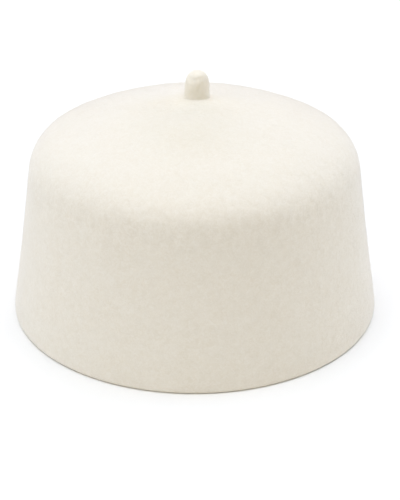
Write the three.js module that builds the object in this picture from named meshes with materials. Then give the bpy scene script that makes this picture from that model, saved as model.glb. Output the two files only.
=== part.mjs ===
// A low, brimless hat of pressed wool felt: a tapered wall, a rounded shoulder and a domed top
// in one piece, with a small felt stem in the middle. It is open below and stands on its rim.
// Millimetres, +Z up. The origin is the middle of the rim, on the surface that the hat stands on.
// Seen from the front, +X is to the right and -Y is towards the viewer.
import * as THREE from "three";

const { degToRad, lerp, smoothstep } = THREE.MathUtils;

// Driving dimensions of the crown
const rimDiameter = 190;
const feltThickness = 3;
const wallHeight = 75.5; // from the rim to where the shoulder starts to turn
const wallTaper = degToRad(10);
const wallBow = 0.25; // how far the wall bows in, halfway up
const shoulderRadius = 24.5;
const topSlope = degToRad(24.6); // where the shoulder runs out into the dome
const outerRimRound = 1.2;
const innerRimRound = 0.8;
const seatRadius = 7; // the flat spot that the stem stands on
const topFade = 10; // the height above the wall over which the dents fade in

// The dome sinks in a shallow ring around the stem. Soft dents and a swell lie on it, where the felt
// was pressed by hand (a swell has a negative depth).
const valley = { depth: 0.45, radius: 15, spread: 13 };
const dents = [
  { place: "front left", x: -18.5, y: -15, depth: 1.2, spread: 15 },
  { place: "front right", x: 26.5, y: -17, depth: 1.2, spread: 17 },
  { place: "front swell", x: -4, y: -37, depth: -2, spread: 13 },
  { place: "back left", x: -24, y: 30, depth: 0.4, spread: 14 },
  { place: "back right", x: 30, y: 26, depth: 0.3, spread: 13 },
];

// Towards the front the shoulder is squarer: the wall stands out below it and the top drops above it.
const frontShoulder = { direction: degToRad(-88), spread: degToRad(42) };
const shoulderOut = { most: 1.9, height: 76.5, spread: 14 };
const shoulderDrops = [
  { place: "shoulder", most: 1.6, radius: 72, spread: 7 },
  { place: "edge of the top", most: 1.2, radius: 58, spread: 13 },
];

// Driving dimensions of the stem, a nub that narrows to a rounded tip
const stemOffset = { x: 1.1, y: 1.4 };
const stemLean = degToRad(2); // to the right
const stemGap = 0.3; // between the stem and its seat
const stemSections = [
  { height: 0, radius: 6.3 },
  { height: 1.2, radius: 6.0 },
  { height: 4.0, radius: 5.9 },
  { height: 7.0, radius: 5.7 },
  { height: 9.2, radius: 5.0 },
  { height: 11.0, radius: 3.9 },
  { height: 12.1, radius: 2.2 },
  { height: 12.5, radius: 0 },
];
// The slanting crease left where the tip was twisted: its middle height, its rise across the stem,
// the direction in which it is highest, its depth and its width.
const crease = { height: 8.2, rise: 2.2, highest: degToRad(-20), depth: 0.3, width: 1.4 };

// How finely the curves are cut into flat faces
const crownSides = 72;
const wallSteps = 4;
const shoulderSteps = 7;
const topSteps = 9;
const rimSteps = 2;
const stemSides = 24;
const stemSteps = 12;

const rimRadius = rimDiameter / 2;
const bell = (distance, spread) => Math.exp(-((distance / spread) ** 2));

// Points at even steps along a curve that is given as a function of 0 to 1
function sweep(steps, curve) {
  return Array.from({ length: steps + 1 }, (_, i) => curve(i / steps));
}

function arcPoint(centre, radius, angle) {
  return new THREE.Vector2(centre.x + radius * Math.cos(angle), centre.y + radius * Math.sin(angle));
}

// The outer face as (radius, height), from the rim up to the edge of the stem's seat
function outerMeridian() {
  const wallRun = (wallHeight - outerRimRound) * Math.tan(wallTaper);
  const wallTop = new THREE.Vector2(rimRadius - wallRun, wallHeight);
  const wall = sweep(wallSteps, (t) => {
    const bow = wallBow * Math.sin(Math.PI * t);
    return new THREE.Vector2(lerp(rimRadius, wallTop.x, t) - bow, lerp(outerRimRound, wallTop.y, t));
  });

  const shoulderCentre = arcPoint(wallTop, -shoulderRadius, wallTaper);
  const shoulder = sweep(shoulderSteps, (t) => {
    return arcPoint(shoulderCentre, shoulderRadius, lerp(wallTaper, Math.PI / 2 - topSlope, t));
  });

  const topEdge = shoulder.at(-1);
  const domeRadius = topEdge.x / Math.sin(topSlope);
  const domeCentre = topEdge.y - domeRadius * Math.cos(topSlope);
  const top = sweep(topSteps, (t) => {
    const radius = lerp(topEdge.x, seatRadius, t);
    const sunk = valley.depth * bell(radius - valley.radius, valley.spread);
    return new THREE.Vector2(radius, domeCentre + Math.sqrt(domeRadius ** 2 - radius ** 2) - sunk);
  });
  return [...wall, ...shoulder.slice(1), ...top.slice(1)];
}

// The same line moved inwards by the thickness of the felt
function innerMeridian(outer) {
  return outer.map((point, i) => {
    const before = outer[Math.max(i - 1, 0)];
    const after = outer[Math.min(i + 1, outer.length - 1)];
    const along = after.clone().sub(before).normalize();
    const inwards = new THREE.Vector2(-along.y, along.x);
    return point.clone().addScaledVector(inwards, feltThickness);
  });
}

// The rounded lower edge, from the inner face to the outer one, with a flat ring to stand on
function rimMeridian() {
  const innerRadius = rimRadius - feltThickness / Math.cos(wallTaper);
  const innerCentre = new THREE.Vector2(innerRadius + innerRimRound, innerRimRound);
  const outerCentre = new THREE.Vector2(rimRadius - outerRimRound, outerRimRound);
  const below = -Math.PI / 2;
  const innerEdge = sweep(rimSteps, (t) => arcPoint(innerCentre, innerRimRound, lerp(-Math.PI, below, t)));
  const outerEdge = sweep(rimSteps, (t) => arcPoint(outerCentre, outerRimRound, lerp(below, 0, t)));
  return [...innerEdge, ...outerEdge];
}

function dentDepth(x, y) {
  const depths = dents.map((dent) => dent.depth * bell(Math.hypot(x - dent.x, y - dent.y), dent.spread));
  return depths.reduce((sum, depth) => sum + depth);
}

// Squares the front of the shoulder, then presses the dents into the top.
function shapeByHand(point) {
  const radius = Math.hypot(point.x, point.y);
  const onTop = smoothstep(point.z, wallHeight, wallHeight + topFade);
  const turn = Math.atan2(point.y, point.x) - frontShoulder.direction;
  const front = bell(Math.atan2(Math.sin(turn), Math.cos(turn)), frontShoulder.spread);
  const out = front * shoulderOut.most * bell(point.z - shoulderOut.height, shoulderOut.spread);
  let drop = 0;
  for (const { most, radius: middle, spread } of shoulderDrops) {
    drop += front * most * bell(radius - middle, spread);
  }
  point.z -= onTop * (drop + dentDepth(point.x, point.y));
  const widened = radius > 0 ? 1 + out / radius : 1;
  point.x *= widened;
  point.y *= widened;
}

// Turns a profile of (radius, height) about the Z axis, then moves each point with the given function.
function turned(profile, sides, move) {
  const geometry = new THREE.LatheGeometry(profile, sides).rotateX(Math.PI / 2);
  const position = geometry.getAttribute("position");
  const point = new THREE.Vector3();
  for (let i = 0; i < position.count; i++) {
    move(point.fromBufferAttribute(position, i));
    position.setXYZ(i, point.x, point.y, point.z);
  }
  geometry.computeVertexNormals();
  return geometry;
}

const outer = outerMeridian();
const inner = innerMeridian(outer);
const seatHeight = outer.at(-1).y;

function makeCrown() {
  const profile = [
    new THREE.Vector2(0, seatHeight - feltThickness),
    ...inner.slice(1).reverse(),
    ...rimMeridian(),
    ...outer.slice(1),
    new THREE.Vector2(0, seatHeight),
  ];
  const geometry = turned(profile, crownSides, shapeByHand);
  const felt = new THREE.MeshStandardMaterial({ color: 0xf1ecdf, roughness: 0.95, metalness: 0 });
  const crown = new THREE.Mesh(geometry, felt);
  crown.name = "crown";
  return crown;
}

function makeStem() {
  const side = new THREE.SplineCurve(stemSections.map((row) => new THREE.Vector2(row.radius, row.height)));
  const profile = [new THREE.Vector2(0, 0), ...side.getPoints(stemSteps)];
  const geometry = turned(profile, stemSides, (point) => {
    const angle = Math.atan2(point.y, point.x);
    const creaseHeight = crease.height + crease.rise * Math.cos(angle - crease.highest);
    const pinch = crease.depth * bell(point.z - creaseHeight, crease.width);
    const radius = Math.hypot(point.x, point.y);
    const narrowed = radius > pinch ? (radius - pinch) / radius : 1;
    point.x *= narrowed;
    point.y *= narrowed;
    point.x += point.z * Math.tan(stemLean);
  });
  const felt = new THREE.MeshStandardMaterial({ color: 0xe9e2d0, roughness: 0.95, metalness: 0 });
  const stem = new THREE.Mesh(geometry, felt);
  stem.name = "stem";
  stem.position.set(stemOffset.x, stemOffset.y, seatHeight + stemGap);
  return stem;
}

const hat = new THREE.Group();
hat.add(makeCrown(), makeStem());

export default hat;
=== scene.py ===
import math

import bpy
import numpy as np
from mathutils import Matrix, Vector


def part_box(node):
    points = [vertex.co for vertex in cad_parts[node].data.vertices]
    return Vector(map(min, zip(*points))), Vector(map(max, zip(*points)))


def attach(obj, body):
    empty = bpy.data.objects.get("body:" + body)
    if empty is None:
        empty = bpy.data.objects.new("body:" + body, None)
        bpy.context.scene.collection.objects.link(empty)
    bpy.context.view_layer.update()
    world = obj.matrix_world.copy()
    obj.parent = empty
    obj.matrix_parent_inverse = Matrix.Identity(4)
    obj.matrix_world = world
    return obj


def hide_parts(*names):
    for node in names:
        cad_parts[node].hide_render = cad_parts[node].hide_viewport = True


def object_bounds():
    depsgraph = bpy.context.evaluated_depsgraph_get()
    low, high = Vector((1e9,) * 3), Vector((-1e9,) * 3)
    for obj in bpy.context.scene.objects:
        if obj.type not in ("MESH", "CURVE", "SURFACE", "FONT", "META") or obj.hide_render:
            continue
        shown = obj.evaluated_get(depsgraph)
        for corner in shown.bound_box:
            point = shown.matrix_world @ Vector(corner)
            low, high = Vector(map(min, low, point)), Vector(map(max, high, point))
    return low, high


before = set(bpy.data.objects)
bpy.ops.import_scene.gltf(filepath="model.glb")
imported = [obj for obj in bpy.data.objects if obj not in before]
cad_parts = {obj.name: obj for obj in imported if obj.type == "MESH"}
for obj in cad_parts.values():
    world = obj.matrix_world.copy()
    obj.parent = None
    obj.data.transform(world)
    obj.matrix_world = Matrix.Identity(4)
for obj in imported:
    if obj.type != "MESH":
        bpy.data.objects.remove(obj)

scene = bpy.context.scene
cadLow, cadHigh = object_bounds()
mm = 0.001
nearAxis = 1 * mm                  # moves in or out are shared over no smaller radius than this


# Small helpers for node trees

def addNode(tree, kind, inputs=None, **settings):
    node = tree.nodes.new(kind)
    for name, value in settings.items():
        setattr(node, name, value)
    for socket, value in (inputs or {}).items():
        if isinstance(value, bpy.types.NodeSocket):
            tree.links.new(value, node.inputs[socket])
        else:
            node.inputs[socket].default_value = value
    return node


def startTree(name, kind, inputs, outputs):
    tree = bpy.data.node_groups.new(name, kind)
    for direction, sockets in (("INPUT", inputs), ("OUTPUT", outputs)):
        for label, socket in sockets.items():
            tree.interface.new_socket(label, in_out=direction, socket_type="NodeSocket" + socket)
    return tree, addNode(tree, "NodeGroupInput").outputs, addNode(tree, "NodeGroupOutput").inputs


def doMath(tree, operation, first, second=0.0):
    return addNode(tree, "ShaderNodeMath", {0: first, 1: second}, operation=operation).outputs[0]


def doVectorMath(tree, operation, first, second):
    return addNode(tree, "ShaderNodeVectorMath", {0: first, 1: second}, operation=operation).outputs


def remap(tree, value, fromLow, fromHigh, toLow=0.0, toHigh=1.0, curve="LINEAR"):
    inputs = {0: value, 1: fromLow, 2: fromHigh, 3: toLow, 4: toHigh}
    return addNode(tree, "ShaderNodeMapRange", inputs, interpolation_type=curve).outputs[0]


def mixColors(tree, share, first, second, blend="MIX"):
    inputs = {0: share, 6: first, 7: second}
    return addNode(tree, "ShaderNodeMix", inputs, data_type="RGBA", blend_type=blend).outputs[2]


def addNoise(tree, place, size, detail, roughness=0.5, distortion=0.0):
    return addNode(tree, "ShaderNodeTexNoise", {
        "Vector": place, "Scale": doMath(tree, "DIVIDE", 1.0, size),
        "Detail": detail, "Roughness": roughness, "Distortion": distortion}).outputs[0]


def heightOf(tree, place):
    return addNode(tree, "ShaderNodeSeparateXYZ", {0: place}).outputs["Z"]


# Small helpers for meshes

# Runs a geometry tree on an object and keeps the result as a plain mesh
def growPiece(name, tree, source, values):
    modifier = source.modifiers.new(tree.name, "NODES")
    modifier.node_group = tree
    for item in tree.interface.items_tree:
        if item.in_out == "INPUT" and item.name in values:
            modifier[item.identifier] = values[item.name]
    depsgraph = bpy.context.evaluated_depsgraph_get()
    mesh = bpy.data.meshes.new_from_object(source.evaluated_get(depsgraph), depsgraph=depsgraph)
    source.modifiers.remove(modifier)
    mesh.name = name
    piece = bpy.data.objects.new(name, mesh)
    scene.collection.objects.link(piece)
    print(name, len(mesh.polygons), "faces")
    return piece


# A line of edges through points of (radius, height); the sweep turns Y down, so heights go in negative
def meridianObject(name, points):
    mesh = bpy.data.meshes.new(name)
    edges = [(i, i + 1) for i in range(len(points) - 1)]
    mesh.from_pydata([(radius, -height, 0) for radius, height in points], edges, [])
    line = bpy.data.objects.new(name, mesh)
    scene.collection.objects.link(line)
    return line


def meshPoints(mesh):
    flat = np.empty(len(mesh.vertices) * 3)
    mesh.vertices.foreach_get("co", flat)
    return flat.reshape(-1, 3)


def setMeshPoints(mesh, points):
    mesh.vertices.foreach_set("co", points.ravel())
    mesh.update()


def bell(distance, spread):
    return np.exp(-(distance / spread) ** 2)


# Angles from a direction, the short way round
def turnFrom(angles, direction):
    turn = angles - direction
    return np.arctan2(np.sin(turn), np.cos(turn))


# Camera at the height, distance and tilt of the photograph

shot = {
    "place": (2.7 * mm, -437 * mm, 243 * mm),
    "tiltDown": math.radians(26.54),
    "lens": 66.83,
    "sensorWidth": 36,
}

camera = bpy.data.objects.new("camera", bpy.data.cameras.new("camera"))
camera.data.lens = shot["lens"]
camera.data.sensor_width = shot["sensorWidth"]
camera.location = shot["place"]
camera.rotation_euler = (math.pi / 2 - shot["tiltDown"], 0, 0)
scene.collection.objects.link(camera)
scene.camera = camera
print("camera set")


# Felt effects shared by the crown, the stem and the loose fibres

feltNoise = {
    "patchBand": (0.38, 0.62),         # where the warm patches start and where they are full
    "fibreBand": (0.35, 0.7),          # likewise for the pale fibres
    "roughBand": (0.2, 0.8),
    "roughness": (0.86, 1.0),          # between fibres and on them
    "meanHeight": 0.5,                 # painted shade falls on the grain below this height, painted light above it
}


def makeFeltGrain():
    group, given, result = startTree(
        "feltGrain", "ShaderNodeTree",
        {"Vector": "Vector", "Fibre Size": "Float", "Clump Size": "Float", "Fibre Share": "Float"},
        {"Height": "Float", "Fibres": "Float"})
    fibres = addNoise(group, given["Vector"], given["Fibre Size"], detail=3.0, roughness=0.6, distortion=1.4)
    clumps = addNoise(group, given["Vector"], given["Clump Size"], detail=2.0, distortion=0.6)
    blend = addNode(group, "ShaderNodeMix", {0: given["Fibre Share"], 2: clumps, 3: fibres})
    group.links.new(blend.outputs[0], result["Height"])
    group.links.new(fibres, result["Fibres"])
    return group


def makeFeltMottleAndShade():
    group, given, result = startTree(
        "feltMottleAndShade", "ShaderNodeTree",
        {"Vector": "Vector", "Fibres": "Float", "Height": "Float",
         "Wool": "Color", "Warm Wool": "Color", "Pale Fibre": "Color", "Patch Size": "Float",
         "Patch Strength": "Float", "Fibre Strength": "Float", "Pit Shade Tone": "Vector",
         "Bend Height": "Float", "Bend Width": "Float", "Bend Pit Shade": "Float",
         "Pressed From": "Float", "Pressed To": "Float", "Pressed Pit Shade": "Float",
         "Dip Shade Tone": "Color", "Dip Shade Place": "Vector", "Dip Shade Reach": "Float"},
        {"Color": "Color", "Roughness": "Float"})
    patches = addNoise(group, given["Vector"], given["Patch Size"], detail=3.0, roughness=0.55)
    patchMask = remap(group, patches, *feltNoise["patchBand"], 0.0, given["Patch Strength"])
    fibreMask = remap(group, given["Fibres"], *feltNoise["fibreBand"], 0.0, given["Fibre Strength"])
    warmed = mixColors(group, patchMask, given["Wool"], given["Warm Wool"])
    flecked = mixColors(group, fibreMask, warmed, given["Pale Fibre"])
    # Painted shade in the pits of the grain, with painted light on its raised fibres, is strongest where the
    # felt bends over the shoulder and weakest on top, where the block has pressed the pits flat
    up = heightOf(group, given["Vector"])
    offBend = doMath(group, "ABSOLUTE", doMath(group, "SUBTRACT", up, given["Bend Height"]))
    bend = remap(group, offBend, 0.0, given["Bend Width"], given["Bend Pit Shade"], 0.0, "SMOOTHSTEP")
    pressed = remap(group, up, given["Pressed From"], given["Pressed To"], 1.0, given["Pressed Pit Shade"],
                    "SMOOTHSTEP")
    pitShadeStrength = doMath(group, "ADD", pressed, bend)
    aboveMean = doMath(group, "SUBTRACT", given["Height"], feltNoise["meanHeight"])
    pitShadeSwing = doMath(group, "MULTIPLY", aboveMean, pitShadeStrength)
    pitShade = addNode(group, "ShaderNodeVectorMath", {
        0: pitShadeSwing, 1: given["Pit Shade Tone"], 2: (1, 1, 1)}, operation="MULTIPLY_ADD")
    pitShaded = mixColors(group, 1.0, flecked, pitShade.outputs[0], "MULTIPLY")
    # Painted shade: the felt is darkened around a place in the shallow dip in front of the stem
    away = doVectorMath(group, "DISTANCE", given["Vector"], given["Dip Shade Place"])["Value"]
    dipShade = remap(group, away, 0.0, given["Dip Shade Reach"], 1.0, 0.0, "SMOOTHSTEP")
    dipShaded = mixColors(group, dipShade, pitShaded, given["Dip Shade Tone"], "MULTIPLY")
    rough = remap(group, given["Fibres"], *feltNoise["roughBand"], *feltNoise["roughness"])
    group.links.new(dipShaded, result["Color"])
    group.links.new(rough, result["Roughness"])
    return group


feltGrain = makeFeltGrain()
feltMottleAndShade = makeFeltMottleAndShade()


def makeFelt(name, look, bumpy=True):
    material = bpy.data.materials.new(name)
    material.use_nodes = True
    tree = material.node_tree
    shader = tree.nodes["Principled BSDF"]
    spot = addNode(tree, "ShaderNodeTexCoord").outputs["Object"]
    grain = addNode(tree, "ShaderNodeGroup", {"Vector": spot, **look["grain"]}, node_tree=feltGrain)
    mottleAndShade = addNode(tree, "ShaderNodeGroup", {
        "Vector": spot, "Fibres": grain.outputs["Fibres"], "Height": grain.outputs["Height"],
        **look["mottleAndShade"]}, node_tree=feltMottleAndShade)
    tree.links.new(mottleAndShade.outputs["Color"], shader.inputs["Base Color"])
    tree.links.new(mottleAndShade.outputs["Roughness"], shader.inputs["Roughness"])
    if bumpy:
        bump = addNode(tree, "ShaderNodeBump", {"Height": grain.outputs["Height"], **look["bump"]})
        tree.links.new(bump.outputs["Normal"], shader.inputs["Normal"])
    for label, value in look["finish"].items():
        shader.inputs[label].default_value = value
    return material


# Turns a meridian about the upright axis and raises low lumps on the felt
def makeTurnedFelt():
    seamWeld = 0.002 * mm
    tree, given, result = startTree(
        "turnedFelt", "GeometryNodeTree",
        {"Geometry": "Geometry", "Sides": "Int", "Reach": "Float", "Lump Size": "Float",
         "Lump Height": "Float", "Nap Size": "Float", "Nap Height": "Float", "Settled Height": "Float",
         "Material": "Material"},
        {"Geometry": "Geometry"})
    line = addNode(tree, "GeometryNodeMeshToCurve", {"Mesh": given["Geometry"]})
    shift = addNode(tree, "ShaderNodeCombineXYZ", {"X": doMath(tree, "MULTIPLY", given["Reach"], -1.0)})
    section = addNode(tree, "GeometryNodeTransform", {
        "Geometry": line.outputs[0], "Translation": shift.outputs[0]})
    path = addNode(tree, "GeometryNodeCurvePrimitiveCircle", {
        "Resolution": given["Sides"], "Radius": given["Reach"]})
    turned = addNode(tree, "GeometryNodeCurveToMesh", {
        "Curve": path.outputs[0], "Profile Curve": section.outputs[0]})
    merged = addNode(tree, "GeometryNodeMergeByDistance", {
        "Geometry": turned.outputs[0], "Distance": seamWeld})
    closed = addNode(tree, "GeometryNodeFlipFaces", {"Mesh": merged.outputs[0]})

    place = addNode(tree, "GeometryNodeInputPosition").outputs[0]
    layers = []
    for size, tall in (("Lump Size", "Lump Height"), ("Nap Size", "Nap Height")):
        noise = addNoise(tree, place, given[size], detail=2.0)
        centred = doMath(tree, "SUBTRACT", noise, 0.5)
        layers.append(doMath(tree, "MULTIPLY", centred, given[tall]))
    settled = remap(tree, heightOf(tree, place), 0.0, given["Settled Height"])
    rise = doMath(tree, "MULTIPLY", doMath(tree, "ADD", *layers), settled)
    normal = addNode(tree, "GeometryNodeInputNormal").outputs[0]
    lift = addNode(tree, "ShaderNodeVectorMath", {0: normal, "Scale": rise}, operation="SCALE")
    raised = addNode(tree, "GeometryNodeSetPosition", {
        "Geometry": closed.outputs[0], "Offset": lift.outputs[0]})
    smooth = addNode(tree, "GeometryNodeSetShadeSmooth", {"Geometry": raised.outputs[0]})
    real = addNode(tree, "GeometryNodeRealizeInstances", {0: smooth.outputs[0]})
    finished = addNode(tree, "GeometryNodeSetMaterial", {
        "Geometry": real.outputs[0], "Material": given["Material"]})
    tree.links.new(finished.outputs[0], result["Geometry"])
    return tree


# One fibre, a unit long: it leans over towards its tip, where it ends in a point
fibreForm = {
    "bend": {"Start": (0, 0, -0.1), "Middle": (0, 0, 0.5), "End": (0.45, 0, 0.75)},
    "sides": 3,
    "tipWeld": 1e-5,
    "lengthSeed": 7,                   # added to a piece's seed for the draw of lengths
}


# Stands short bent fibres on the outside of a felt piece
def makeFeltFuzz():
    tree, given, result = startTree(
        "feltFuzz", "GeometryNodeTree",
        {"Geometry": "Geometry", "Density": "Float", "Seed": "Int", "Fibre Thickness": "Float",
         "Shortest": "Float", "Longest": "Float", "Lean": "Float", "Spine Points": "Int",
         "Inside Point": "Vector", "Lowest": "Float", "Highest": "Float", "Material": "Material"},
        {"Geometry": "Geometry"})
    place = addNode(tree, "GeometryNodeInputPosition").outputs[0]
    normal = addNode(tree, "GeometryNodeInputNormal").outputs[0]
    away = doVectorMath(tree, "SUBTRACT", place, given["Inside Point"])["Vector"]
    facing = doVectorMath(tree, "DOT_PRODUCT", normal, away)["Value"]
    outside = doMath(tree, "GREATER_THAN", facing, 0.0)
    height = heightOf(tree, place)
    above = doMath(tree, "GREATER_THAN", height, given["Lowest"])
    below = doMath(tree, "LESS_THAN", height, given["Highest"])
    within = doMath(tree, "MULTIPLY", above, below)
    roots = addNode(tree, "GeometryNodeDistributePointsOnFaces", {
        "Mesh": given["Geometry"], "Selection": doMath(tree, "MULTIPLY", outside, within),
        "Density": given["Density"], "Seed": given["Seed"]})

    bend = addNode(tree, "GeometryNodeCurveQuadraticBezier", fibreForm["bend"])
    spine = addNode(tree, "GeometryNodeResampleCurve", {
        "Curve": bend.outputs[0], "Count": given["Spine Points"]})
    along = addNode(tree, "GeometryNodeSplineParameter").outputs["Factor"]
    ring = addNode(tree, "GeometryNodeCurvePrimitiveCircle", {
        "Resolution": fibreForm["sides"], "Radius": given["Fibre Thickness"]})
    fibre = addNode(tree, "GeometryNodeCurveToMesh", {
        "Curve": spine.outputs[0], "Profile Curve": ring.outputs[0],
        "Scale": doMath(tree, "SUBTRACT", 1.0, along), "Fill Caps": True})
    pointed = addNode(tree, "GeometryNodeMergeByDistance", {
        "Geometry": fibre.outputs[0], "Distance": fibreForm["tipWeld"]})

    leanBack = doMath(tree, "MULTIPLY", given["Lean"], -1.0)
    lowTurn = addNode(tree, "ShaderNodeCombineXYZ", {0: leanBack, 1: leanBack, 2: 0.0})
    highTurn = addNode(tree, "ShaderNodeCombineXYZ", {0: given["Lean"], 1: given["Lean"], 2: 2 * math.pi})
    turn = addNode(tree, "FunctionNodeRandomValue", {
        0: lowTurn.outputs[0], 1: highTurn.outputs[0], "Seed": given["Seed"]}, data_type="FLOAT_VECTOR")
    turnBy = addNode(tree, "FunctionNodeEulerToRotation", {0: turn.outputs[0]})
    heading = addNode(tree, "FunctionNodeRotateRotation", {
        0: roots.outputs["Rotation"], 1: turnBy.outputs[0]}, rotation_space="LOCAL")
    lengthSeed = doMath(tree, "ADD", given["Seed"], fibreForm["lengthSeed"])
    length = addNode(tree, "FunctionNodeRandomValue", {
        2: given["Shortest"], 3: given["Longest"], "Seed": lengthSeed})
    fibres = addNode(tree, "GeometryNodeInstanceOnPoints", {
        "Points": roots.outputs["Points"], "Instance": pointed.outputs[0],
        "Rotation": heading.outputs[0], "Scale": length.outputs[1]})
    real = addNode(tree, "GeometryNodeRealizeInstances", {0: fibres.outputs[0]})
    finished = addNode(tree, "GeometryNodeSetMaterial", {
        "Geometry": real.outputs[0], "Material": given["Material"]})
    tree.links.new(finished.outputs[0], result["Geometry"])
    return tree


turnedFelt = makeTurnedFelt()
feltFuzz = makeFeltFuzz()
print("node trees ready")


# Crown: one piece of blocked felt, open below

crownForm = {
    "feltThickness": 3 * mm,
    "wallHeight": 75.5 * mm,           # rim to the start of the shoulder
    "wallTaper": math.radians(10),
    "wallBow": 0.25 * mm,              # how far the wall bows in, halfway up
    "shoulderRadius": 24.5 * mm,
    "topSlope": math.radians(24.6),    # where the shoulder runs out into the dome
    "outerRimRound": 1.5 * mm,
    "innerRimRound": 1.0 * mm,
    "valley": {"depth": 0.45 * mm, "radius": 15 * mm, "spread": 13 * mm},
    "dents": [                         # pressed by hand; a swell has a negative depth
        {"x": -18.5 * mm, "y": -15 * mm, "depth": 1.2 * mm, "spread": 15 * mm},
        {"x": 26.5 * mm, "y": -17 * mm, "depth": 1.2 * mm, "spread": 17 * mm},
        {"x": -4 * mm, "y": -37 * mm, "depth": -2.0 * mm, "spread": 13 * mm},
        {"x": -24 * mm, "y": 30 * mm, "depth": 0.4 * mm, "spread": 14 * mm},
        {"x": 30 * mm, "y": 26 * mm, "depth": 0.3 * mm, "spread": 13 * mm},
    ],
    # Towards the front the shoulder is squarer: the wall stands out below it and the top drops above it
    "front": {"direction": math.radians(-88), "spread": math.radians(42)},
    "shoulderOut": {"most": 1.9 * mm, "height": 76.5 * mm, "spread": 14 * mm},
    "shoulderDrops": [
        {"most": 1.6 * mm, "radius": 72 * mm, "spread": 7 * mm},
        {"most": 1.2 * mm, "radius": 58 * mm, "spread": 13 * mm},
    ],
    "topFade": 10 * mm,                # height above the wall over which the dents fade in
    "wallSteps": 60,
    "shoulderSteps": 22,
    "topSteps": 58,
    "rimSteps": 5,
    "innerEvery": 2,                   # the inner face keeps every second row
    "surface": {"Sides": 384, "Reach": 10 * mm, "Lump Size": 9 * mm, "Lump Height": 0.4 * mm,
                "Nap Size": 3.4 * mm, "Nap Height": 0.2 * mm, "Settled Height": 4 * mm},
    "look": {
        "grain": {"Fibre Size": 1.5 * mm, "Clump Size": 3.2 * mm, "Fibre Share": 0.4},
        "mottleAndShade": {
            "Wool": (0.832, 0.778, 0.676, 1), "Warm Wool": (0.818, 0.75, 0.634, 1),
            "Pale Fibre": (0.879, 0.84, 0.764, 1), "Patch Size": 14 * mm, "Patch Strength": 0.32,
            # The pit settings paint shade into the low grain and light onto the raised grain
            "Fibre Strength": 0.6, "Pit Shade Tone": (0.13, 0.145, 0.175),
            "Bend Height": 76 * mm, "Bend Width": 14 * mm, "Bend Pit Shade": 0.8,
            "Pressed From": 80 * mm, "Pressed To": 93 * mm, "Pressed Pit Shade": 0.3,
            # This tone and place paint shade into the dip in front of the stem
            "Dip Shade Tone": (0.948, 0.944, 0.914, 1),
            "Dip Shade Place": (-2 * mm, -22 * mm, 106 * mm), "Dip Shade Reach": 46 * mm},
        "bump": {"Strength": 0.4, "Distance": 0.5 * mm},
        "finish": {"Specular IOR Level": 0.2, "Sheen Weight": 0.45, "Sheen Roughness": 0.4,
                   "Sheen Tint": (1, 1, 1, 1)},
    },
}


def arcPoints(centreX, centreY, radius, start, end, steps):
    angles = np.linspace(start, end, steps + 1)
    return np.c_[centreX + radius * np.cos(angles), centreY + radius * np.sin(angles)]


# The felt's whole edge as (radius, height): from the axis down the inside, round the rim and up the outside
def crownMeridian(form):
    rim = (cadHigh.x - cadLow.x) / 2
    taper, slope = form["wallTaper"], form["topSlope"]
    innerRound, outerRound = form["innerRimRound"], form["outerRimRound"]
    step = np.linspace(0, 1, form["wallSteps"] + 1)
    rise = form["wallHeight"] - outerRound
    wallRadius = rim - rise * math.tan(taper) * step - form["wallBow"] * np.sin(math.pi * step)
    wall = np.c_[wallRadius, outerRound + rise * step]

    turn = form["shoulderRadius"]
    turnX = rim - rise * math.tan(taper) - turn * math.cos(taper)
    turnZ = form["wallHeight"] - turn * math.sin(taper)
    shoulder = arcPoints(turnX, turnZ, turn, taper, math.pi / 2 - slope, form["shoulderSteps"])

    edgeRadius, edgeHeight = shoulder[-1]
    domeRadius = edgeRadius / math.sin(slope)
    domeCentre = edgeHeight - domeRadius * math.cos(slope)
    topRadius = np.linspace(edgeRadius, 0, form["topSteps"] + 1)
    valley = form["valley"]
    sunk = valley["depth"] * bell(topRadius - valley["radius"], valley["spread"])
    top = np.c_[topRadius, domeCentre + np.sqrt(domeRadius ** 2 - topRadius ** 2) - sunk]
    outer = np.vstack([wall, shoulder[1:], top[1:]])

    along = np.gradient(outer, axis=0)
    along /= np.linalg.norm(along, axis=1, keepdims=True)
    inner = outer + form["feltThickness"] * np.c_[-along[:, 1], along[:, 0]]
    inner[-1, 0] = 0
    inner = inner[::-form["innerEvery"]]
    inner = inner[inner[:, 1] > 2 * innerRound]      # the lowest rows give way to the rounded rim

    innerRim = rim - form["feltThickness"] / math.cos(taper)
    below = -math.pi / 2
    rimInside = arcPoints(innerRim + innerRound, innerRound, innerRound, -math.pi, below, form["rimSteps"])
    rimOutside = arcPoints(rim - outerRound, outerRound, outerRound, below, 0, form["rimSteps"])
    return np.vstack([inner, rimInside, rimOutside, outer[1:]])


# Squares the front of the shoulder and presses the dents into the top
def shapeByHand(mesh, form):
    points = meshPoints(mesh)
    radius = np.hypot(points[:, 0], points[:, 1])
    fade = np.clip((points[:, 2] - form["wallHeight"]) / form["topFade"], 0, 1)
    onTop = fade ** 2 * (3 - 2 * fade)
    turn = turnFrom(np.arctan2(points[:, 1], points[:, 0]), form["front"]["direction"])
    front = bell(turn, form["front"]["spread"])
    out = form["shoulderOut"]
    widened = front * out["most"] * bell(points[:, 2] - out["height"], out["spread"])
    sunk = np.zeros(len(points))
    for drop in form["shoulderDrops"]:
        sunk += front * drop["most"] * bell(radius - drop["radius"], drop["spread"])
    for dent in form["dents"]:
        distance = np.hypot(points[:, 0] - dent["x"], points[:, 1] - dent["y"])
        sunk += dent["depth"] * bell(distance, dent["spread"])
    points[:, 2] -= onTop * sunk
    points[:, :2] *= (1 + widened / np.maximum(radius, nearAxis))[:, None]
    setMeshPoints(mesh, points)


def makeCrown(form):
    line = meridianObject("crownLine", crownMeridian(form))
    felt = makeFelt("crownFelt", form["look"])
    piece = growPiece("crown_felt", turnedFelt, line, {**form["surface"], "Material": felt})
    bpy.data.objects.remove(line)
    shapeByHand(piece.data, form)
    return piece


crown = makeCrown(crownForm)


# Stem: the small felt nub on the middle of the top

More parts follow.
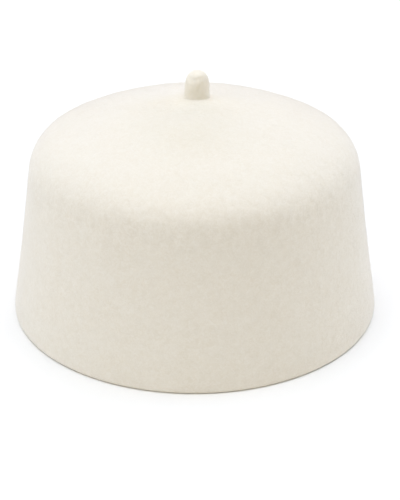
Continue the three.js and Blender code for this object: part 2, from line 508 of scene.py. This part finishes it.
stemForm = {
    "sections": [(-0.6, 6.35), (0.0, 6.2), (1.0, 6.05), (4.0, 5.9), (7.0, 5.7), (9.2, 5.05), (11.0, 3.95),
                 (12.1, 2.3), (12.5, 0.0)],     # height and radius, mm
    "stepsBetween": 7,
    "offset": (1.1 * mm, 1.4 * mm),
    "lean": math.radians(2),
    # Folds left by twisting the tip, in degrees and mm: place round the stem and up it, depth (a ridge is
    # negative), how far each runs round and up, and how fast it climbs
    "folds": [
        {"round": -95, "height": 9.4, "depth": 0.25, "across": 36, "tall": 0.75, "climb": 0.6},
        {"round": -97, "height": 6.9, "depth": -0.3, "across": 20, "tall": 1.7, "climb": 4.0},
        {"round": -72, "height": 6.6, "depth": 0.36, "across": 18, "tall": 2.0, "climb": 12.0},
        {"round": -50, "height": 7.2, "depth": 0.14, "across": 16, "tall": 1.8, "climb": 2.0},
        {"round": -98, "height": 3.0, "depth": 0.16, "across": 34, "tall": 1.5, "climb": 1.0},
        {"round": 75, "height": 6.6, "depth": 0.3, "across": 34, "tall": 1.6, "climb": -3.0},
        {"round": 150, "height": 7.8, "depth": -0.3, "across": 28, "tall": 1.4, "climb": 4.0},
    ],
    "mostPinch": 0.5,                  # share of the radius that the folds may take
    "surface": {"Sides": 128, "Reach": 10 * mm, "Lump Size": 3 * mm, "Lump Height": 0.3 * mm,
                "Nap Size": 1.2 * mm, "Nap Height": 0.16 * mm, "Settled Height": 1 * mm},
    "look": {**crownForm["look"], "mottleAndShade": {
        **crownForm["look"]["mottleAndShade"],
        # The stem's wool is painted paler than the crown's felt, painted light that brightens the stem's
        # shade
        "Wool": (0.926, 0.874, 0.758, 1), "Warm Wool": (0.908, 0.848, 0.716, 1),
        "Bend Pit Shade": 0.0, "Pressed Pit Shade": 1.0, "Dip Shade Reach": 1 * mm}},
}


# A smooth line through the knots, with the given number of steps between each two
def smoothLine(knots, steps):
    ends = [2 * knots[0] - knots[1], 2 * knots[-1] - knots[-2]]
    knots = np.array([ends[0], *knots, ends[1]])
    t = np.arange(steps)[:, None] / steps
    parts = []
    for a, b, c, d in zip(knots, knots[1:], knots[2:], knots[3:]):
        bend = (2 * a - 5 * b + 4 * c - d) * t ** 2 + (3 * b - a - 3 * c + d) * t ** 3
        parts.append(0.5 * (2 * b + (c - a) * t + bend))
    return np.vstack([*parts, knots[-2:-1]])


# Presses the folds into the stem, leans it and sets it on the crown
def foldStem(mesh, form):
    points = meshPoints(mesh)
    angle = np.arctan2(points[:, 1], points[:, 0])
    radius = np.hypot(points[:, 0], points[:, 1])
    pinch = np.zeros(len(points))
    for fold in form["folds"]:
        turn = turnFrom(angle, math.radians(fold["round"]))
        middle = fold["height"] * mm + fold["climb"] * mm * turn
        spread = bell(turn, math.radians(fold["across"])) * bell(points[:, 2] - middle, fold["tall"] * mm)
        pinch += fold["depth"] * mm * spread
    narrowed = 1 - np.minimum(pinch / np.maximum(radius, nearAxis), form["mostPinch"])
    points[:, :2] *= narrowed[:, None]
    points[:, 0] += points[:, 2] * math.tan(form["lean"])
    points += [*form["offset"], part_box("stem")[0].z]
    setMeshPoints(mesh, points)


def makeStem(form):
    knots = [np.array([radius, height]) * mm for height, radius in form["sections"]]
    side = smoothLine(knots, form["stepsBetween"])
    foot = [[0, side[0, 1]]]
    line = meridianObject("stemLine", np.vstack([foot, side]))
    felt = makeFelt("stemFelt", form["look"])
    piece = growPiece("stem_felt", turnedFelt, line, {**form["surface"], "Material": felt})
    bpy.data.objects.remove(line)
    foldStem(piece.data, form)
    return piece


stem = makeStem(stemForm)


# Loose fibres that stand off the felt

longFibre = {"Fibre Thickness": 0.03, "Shortest": 0.5 * mm, "Lean": 1.1, "Spine Points": 3}
shortFibre = {"Fibre Thickness": 0.05, "Shortest": 0.35 * mm, "Longest": 0.9 * mm, "Lean": 0.8,
              "Spine Points": 2}
crownMiddle = (0, 0, 40 * mm)
stemMiddle = (*stemForm["offset"], 112 * mm)
wallTop = 70 * mm                      # where the wall's nap gives way to the top's
overAll = 130 * mm                     # above the whole hat

fuzzForm = {                           # density is in fibres for each square metre
    "crown_fuzz": {**longFibre, "Density": 265000.0, "Seed": 3, "Longest": 1.6 * mm,
                   "Inside Point": crownMiddle, "Lowest": 2 * mm, "Highest": overAll},
    "crown_nap_wall": {**shortFibre, "Density": 1200000.0, "Seed": 11,
                       "Inside Point": crownMiddle, "Lowest": 3 * mm, "Highest": wallTop},
    "crown_nap_top": {**shortFibre, "Density": 1600000.0, "Seed": 13,
                      "Inside Point": crownMiddle, "Lowest": wallTop, "Highest": overAll},
    "stem_fuzz": {**longFibre, "Density": 5000000.0, "Seed": 5, "Longest": 1.1 * mm,
                  "Inside Point": stemMiddle, "Lowest": 109 * mm, "Highest": overAll},
}

carriers = {
    "crown": (crown, makeFelt("crownFuzzFelt", crownForm["look"], bumpy=False)),
    "stem": (stem, makeFelt("stemFuzzFelt", stemForm["look"], bumpy=False)),
}
fuzzPieces = []
for name, values in fuzzForm.items():
    source, felt = carriers[name.split("_")[0]]
    fuzzPieces.append(growPiece(name, feltFuzz, source, {**values, "Material": felt}))


# Floor, light and colour

studio = {
    "floorSize": 6.0,
    "floorNearShadow": (0.866, 0.856, 0.832, 1),
    "floorFar": (0.93, 0.915, 0.885, 1),
    "floorShadowFade": (120 * mm, 420 * mm),                        # painted shadow: the floor is darker near the hat and paler away from it
    "ambient": {"strength": 0.01, "color": (1, 0.97, 0.93, 1)},
    "backdrop": {"strength": 1.0, "color": (1, 1, 1, 1)},     # seen past the floor, and lights nothing
    # Degrees round from the right and down from straight above; angle is the spread of the light
    "lights": {
        "overhead": {"round": 0, "down": 0, "angle": 65, "strength": 3.267, "color": (0.885, 0.924, 1)},
        "left": {"round": 205, "down": 75, "angle": 60, "strength": 1.172, "color": (1, 0.95, 0.825)},
        "leftBack": {"round": 160, "down": 75, "angle": 30, "strength": 0.322, "color": (0.303, 0.547, 1)},
        "right": {"round": 335, "down": 75, "angle": 40, "strength": 0.586, "color": (1, 0.846, 0.539)},
        "rightBack": {"round": 20, "down": 75, "angle": 30, "strength": 0.646, "color": (0.571, 0.727, 1)},
        "back": {"round": 90, "down": 80, "angle": 60, "strength": 1.053, "color": (1, 0.856, 0.845)},
    },
}


def makeFloor():
    half = studio["floorSize"] / 2
    mesh = bpy.data.meshes.new("floor")
    corners = [(-half, -half, 0), (half, -half, 0), (half, half, 0), (-half, half, 0)]
    mesh.from_pydata(corners, [], [(0, 1, 2, 3)])
    floor = bpy.data.objects.new("floor", mesh)
    scene.collection.objects.link(floor)
    paint = bpy.data.materials.new("floorPaintWithShadow")
    paint.use_nodes = True
    tree = paint.node_tree
    shader = tree.nodes["Principled BSDF"]
    spot = addNode(tree, "ShaderNodeTexCoord").outputs["Object"]
    # Painted shadow: the floor colour darkens towards the hat
    distance = addNode(tree, "ShaderNodeVectorMath", {0: spot}, operation="LENGTH").outputs["Value"]
    fade = remap(tree, distance, *studio["floorShadowFade"], curve="SMOOTHSTEP")
    blend = mixColors(tree, fade, studio["floorNearShadow"], studio["floorFar"])
    tree.links.new(blend, shader.inputs["Base Color"])
    shader.inputs["Roughness"].default_value = 1.0
    shader.inputs["Specular IOR Level"].default_value = 0.0
    mesh.materials.append(paint)


def makeLight(name, setup):
    lamp = bpy.data.lights.new(name, "SUN")
    lamp.angle = math.radians(setup["angle"])
    lamp.energy = setup["strength"]
    lamp.color = setup["color"]
    light = bpy.data.objects.new(name, lamp)
    light.rotation_euler = (0, math.radians(setup["down"]), math.radians(setup["round"]))
    scene.collection.objects.link(light)


def makeWorld():
    world = bpy.data.worlds.new("studio")
    world.use_nodes = True
    tree = world.node_tree
    sky = {}
    for name in ("ambient", "backdrop"):
        sky[name] = addNode(tree, "ShaderNodeBackground", {
            "Color": studio[name]["color"], "Strength": studio[name]["strength"]}).outputs[0]
    seen = addNode(tree, "ShaderNodeLightPath").outputs["Is Camera Ray"]
    blend = addNode(tree, "ShaderNodeMixShader", {0: seen, 1: sky["ambient"], 2: sky["backdrop"]})
    tree.links.new(blend.outputs[0], tree.nodes["World Output"].inputs["Surface"])
    tree.nodes.remove(tree.nodes["Background"])
    scene.world = world


makeFloor()
for name, setup in studio["lights"].items():
    makeLight(name, setup)
makeWorld()
scene.view_settings.view_transform = "Standard"
print("studio ready")


# Each piece goes with the hat's one body

for piece in (crown, stem, *fuzzPieces):
    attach(piece, "root")
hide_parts("crown")
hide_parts("stem")
